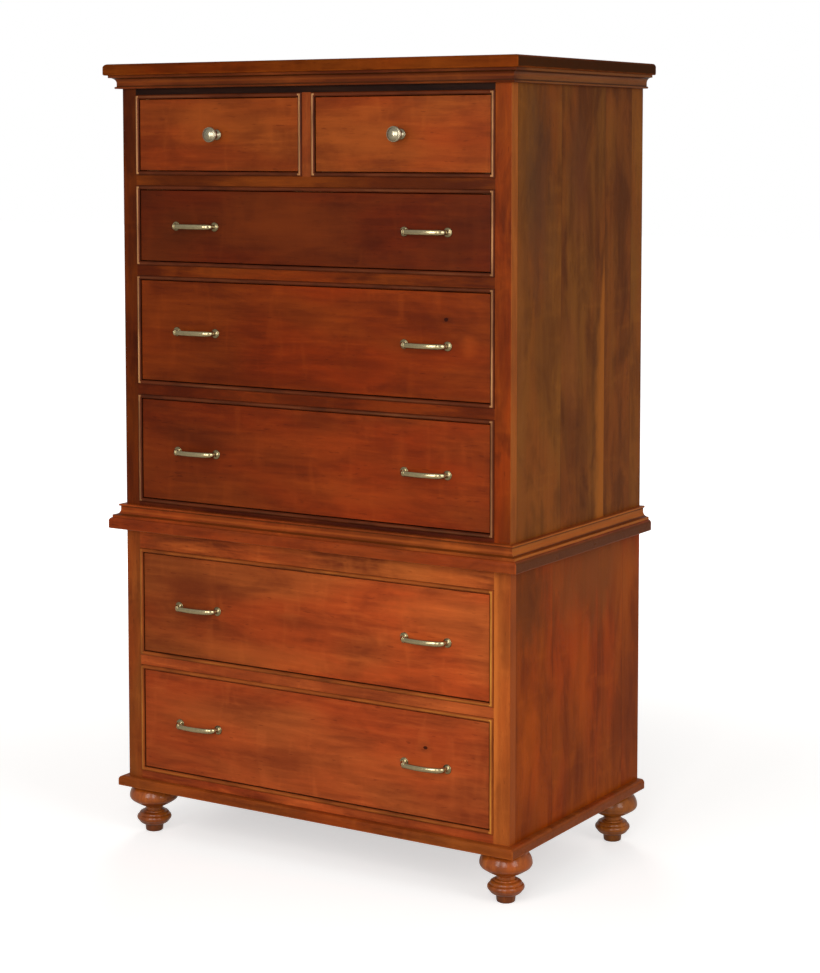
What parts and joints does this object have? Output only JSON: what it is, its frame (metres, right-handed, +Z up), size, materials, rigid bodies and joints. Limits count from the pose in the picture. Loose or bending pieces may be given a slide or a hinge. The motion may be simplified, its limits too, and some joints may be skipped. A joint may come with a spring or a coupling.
{
  "type": "chest on chest",
  "caption": "Stacked chest of drawers in stained wood: an upper case on a lower case, with cove mouldings, beaded drawer openings, arched bar pulls, round knobs and turned feet.",
  "frame": {"origin": "on the floor, in the middle of the overall width and depth", "axes": "+Z up, +X to the right seen from the front, -Y towards the front, where the drawers open"},
  "size_m": [1.02, 0.606, 1.684],
  "materials": {
    "cherry_frame": "satin lacquer over a reddish-brown stain",
    "cherry_fronts": "satin lacquer over a reddish-brown stain",
    "cherry_sides": "satin lacquer over a reddish-brown stain",
    "cherry_boards": "satin lacquer over a reddish-brown stain",
    "cherry_mouldings": "satin lacquer over a reddish-brown stain",
    "cherry_beads": "satin lacquer over a reddish-brown stain",
    "cherry_feet": "satin lacquer over a reddish-brown stain",
    "runner_wood": "planed, unfinished",
    "back_wood": "clear sealer",
    "drawer_wood": "clear satin lacquer",
    "drawer_bottom_wood": "clear satin lacquer",
    "nickel": "satin nickel, slightly aged",
    "screw_steel": "plated"
  },
  "bodies": {
    "case": {"top_board": "cherry_boards", "cornice_moulding": "cherry_mouldings", "upper_side_left": "cherry_sides", "upper_side_right": "cherry_sides", "upper_stiles": "cherry_frame", "upper_rail_top": "cherry_frame", "upper_rail_rows_1_2": "cherry_frame", "upper_rail_rows_2_3": "cherry_frame", "upper_rail_rows_3_4": "cherry_frame", "upper_rail_bottom": "cherry_frame", "upper_drawer_divider": "cherry_frame", "upper_cock_beads": "cherry_beads", "upper_inner_frames": "runner_wood", "upper_back_panel": "back_wood", "waist_board": "cherry_boards", "waist_moulding": "cherry_mouldings", "lower_side_left": "cherry_sides", "lower_side_right": "cherry_sides", "lower_stiles": "cherry_frame", "lower_rail_top": "cherry_frame", "lower_rail_rows_5_6": "cherry_frame", "lower_rail_bottom": "cherry_frame", "lower_cock_beads": "cherry_beads", "lower_inner_frames": "runner_wood", "lower_back_panel": "back_wood", "base_board": "cherry_boards", "foot_front_left": "cherry_feet", "foot_front_right": "cherry_feet", "foot_rear_left": "cherry_feet", "foot_rear_right": "cherry_feet", "case_screws": "screw_steel"},
    "drawer_1_left": {"drawer_1_left_front": "cherry_fronts", "drawer_1_left_box": "drawer_wood", "drawer_1_left_bottom": "drawer_bottom_wood", "drawer_1_left_knob": "nickel"},
    "drawer_1_right": {"drawer_1_right_front": "cherry_fronts", "drawer_1_right_box": "drawer_wood", "drawer_1_right_bottom": "drawer_bottom_wood", "drawer_1_right_knob": "nickel"},
    "drawer_2": {"drawer_2_front": "cherry_fronts", "drawer_2_box": "drawer_wood", "drawer_2_bottom": "drawer_bottom_wood", "drawer_2_pulls": "nickel"},
    "drawer_3": {"drawer_3_front": "cherry_fronts", "drawer_3_box": "drawer_wood", "drawer_3_bottom": "drawer_bottom_wood", "drawer_3_pulls": "nickel"},
    "drawer_4": {"drawer_4_front": "cherry_fronts", "drawer_4_box": "drawer_wood", "drawer_4_bottom": "drawer_bottom_wood", "drawer_4_pulls": "nickel"},
    "drawer_5": {"drawer_5_front": "cherry_fronts", "drawer_5_box": "drawer_wood", "drawer_5_bottom": "drawer_bottom_wood", "drawer_5_pulls": "nickel"},
    "drawer_6": {"drawer_6_front": "cherry_fronts", "drawer_6_box": "drawer_wood", "drawer_6_bottom": "drawer_bottom_wood", "drawer_6_pulls": "nickel"}
  },
  "joints": [
    {"name": "drawer_1_left_slide", "type": "slide", "parent": "case", "child": "drawer_1_left", "axis": [0, -1, 0], "range_m": [0, 0.4]},
    {"name": "drawer_1_right_slide", "type": "slide", "parent": "case", "child": "drawer_1_right", "axis": [0, -1, 0], "range_m": [0, 0.4]},
    {"name": "drawer_2_slide", "type": "slide", "parent": "case", "child": "drawer_2", "axis": [0, -1, 0], "range_m": [0, 0.4]},
    {"name": "drawer_3_slide", "type": "slide", "parent": "case", "child": "drawer_3", "axis": [0, -1, 0], "range_m": [0, 0.4]},
    {"name": "drawer_4_slide", "type": "slide", "parent": "case", "child": "drawer_4", "axis": [0, -1, 0], "range_m": [0, 0.4]},
    {"name": "drawer_5_slide", "type": "slide", "parent": "case", "child": "drawer_5", "axis": [0, -1, 0], "range_m": [0, 0.4]},
    {"name": "drawer_6_slide", "type": "slide", "parent": "case", "child": "drawer_6", "axis": [0, -1, 0], "range_m": [0, 0.4]}
  ]
}
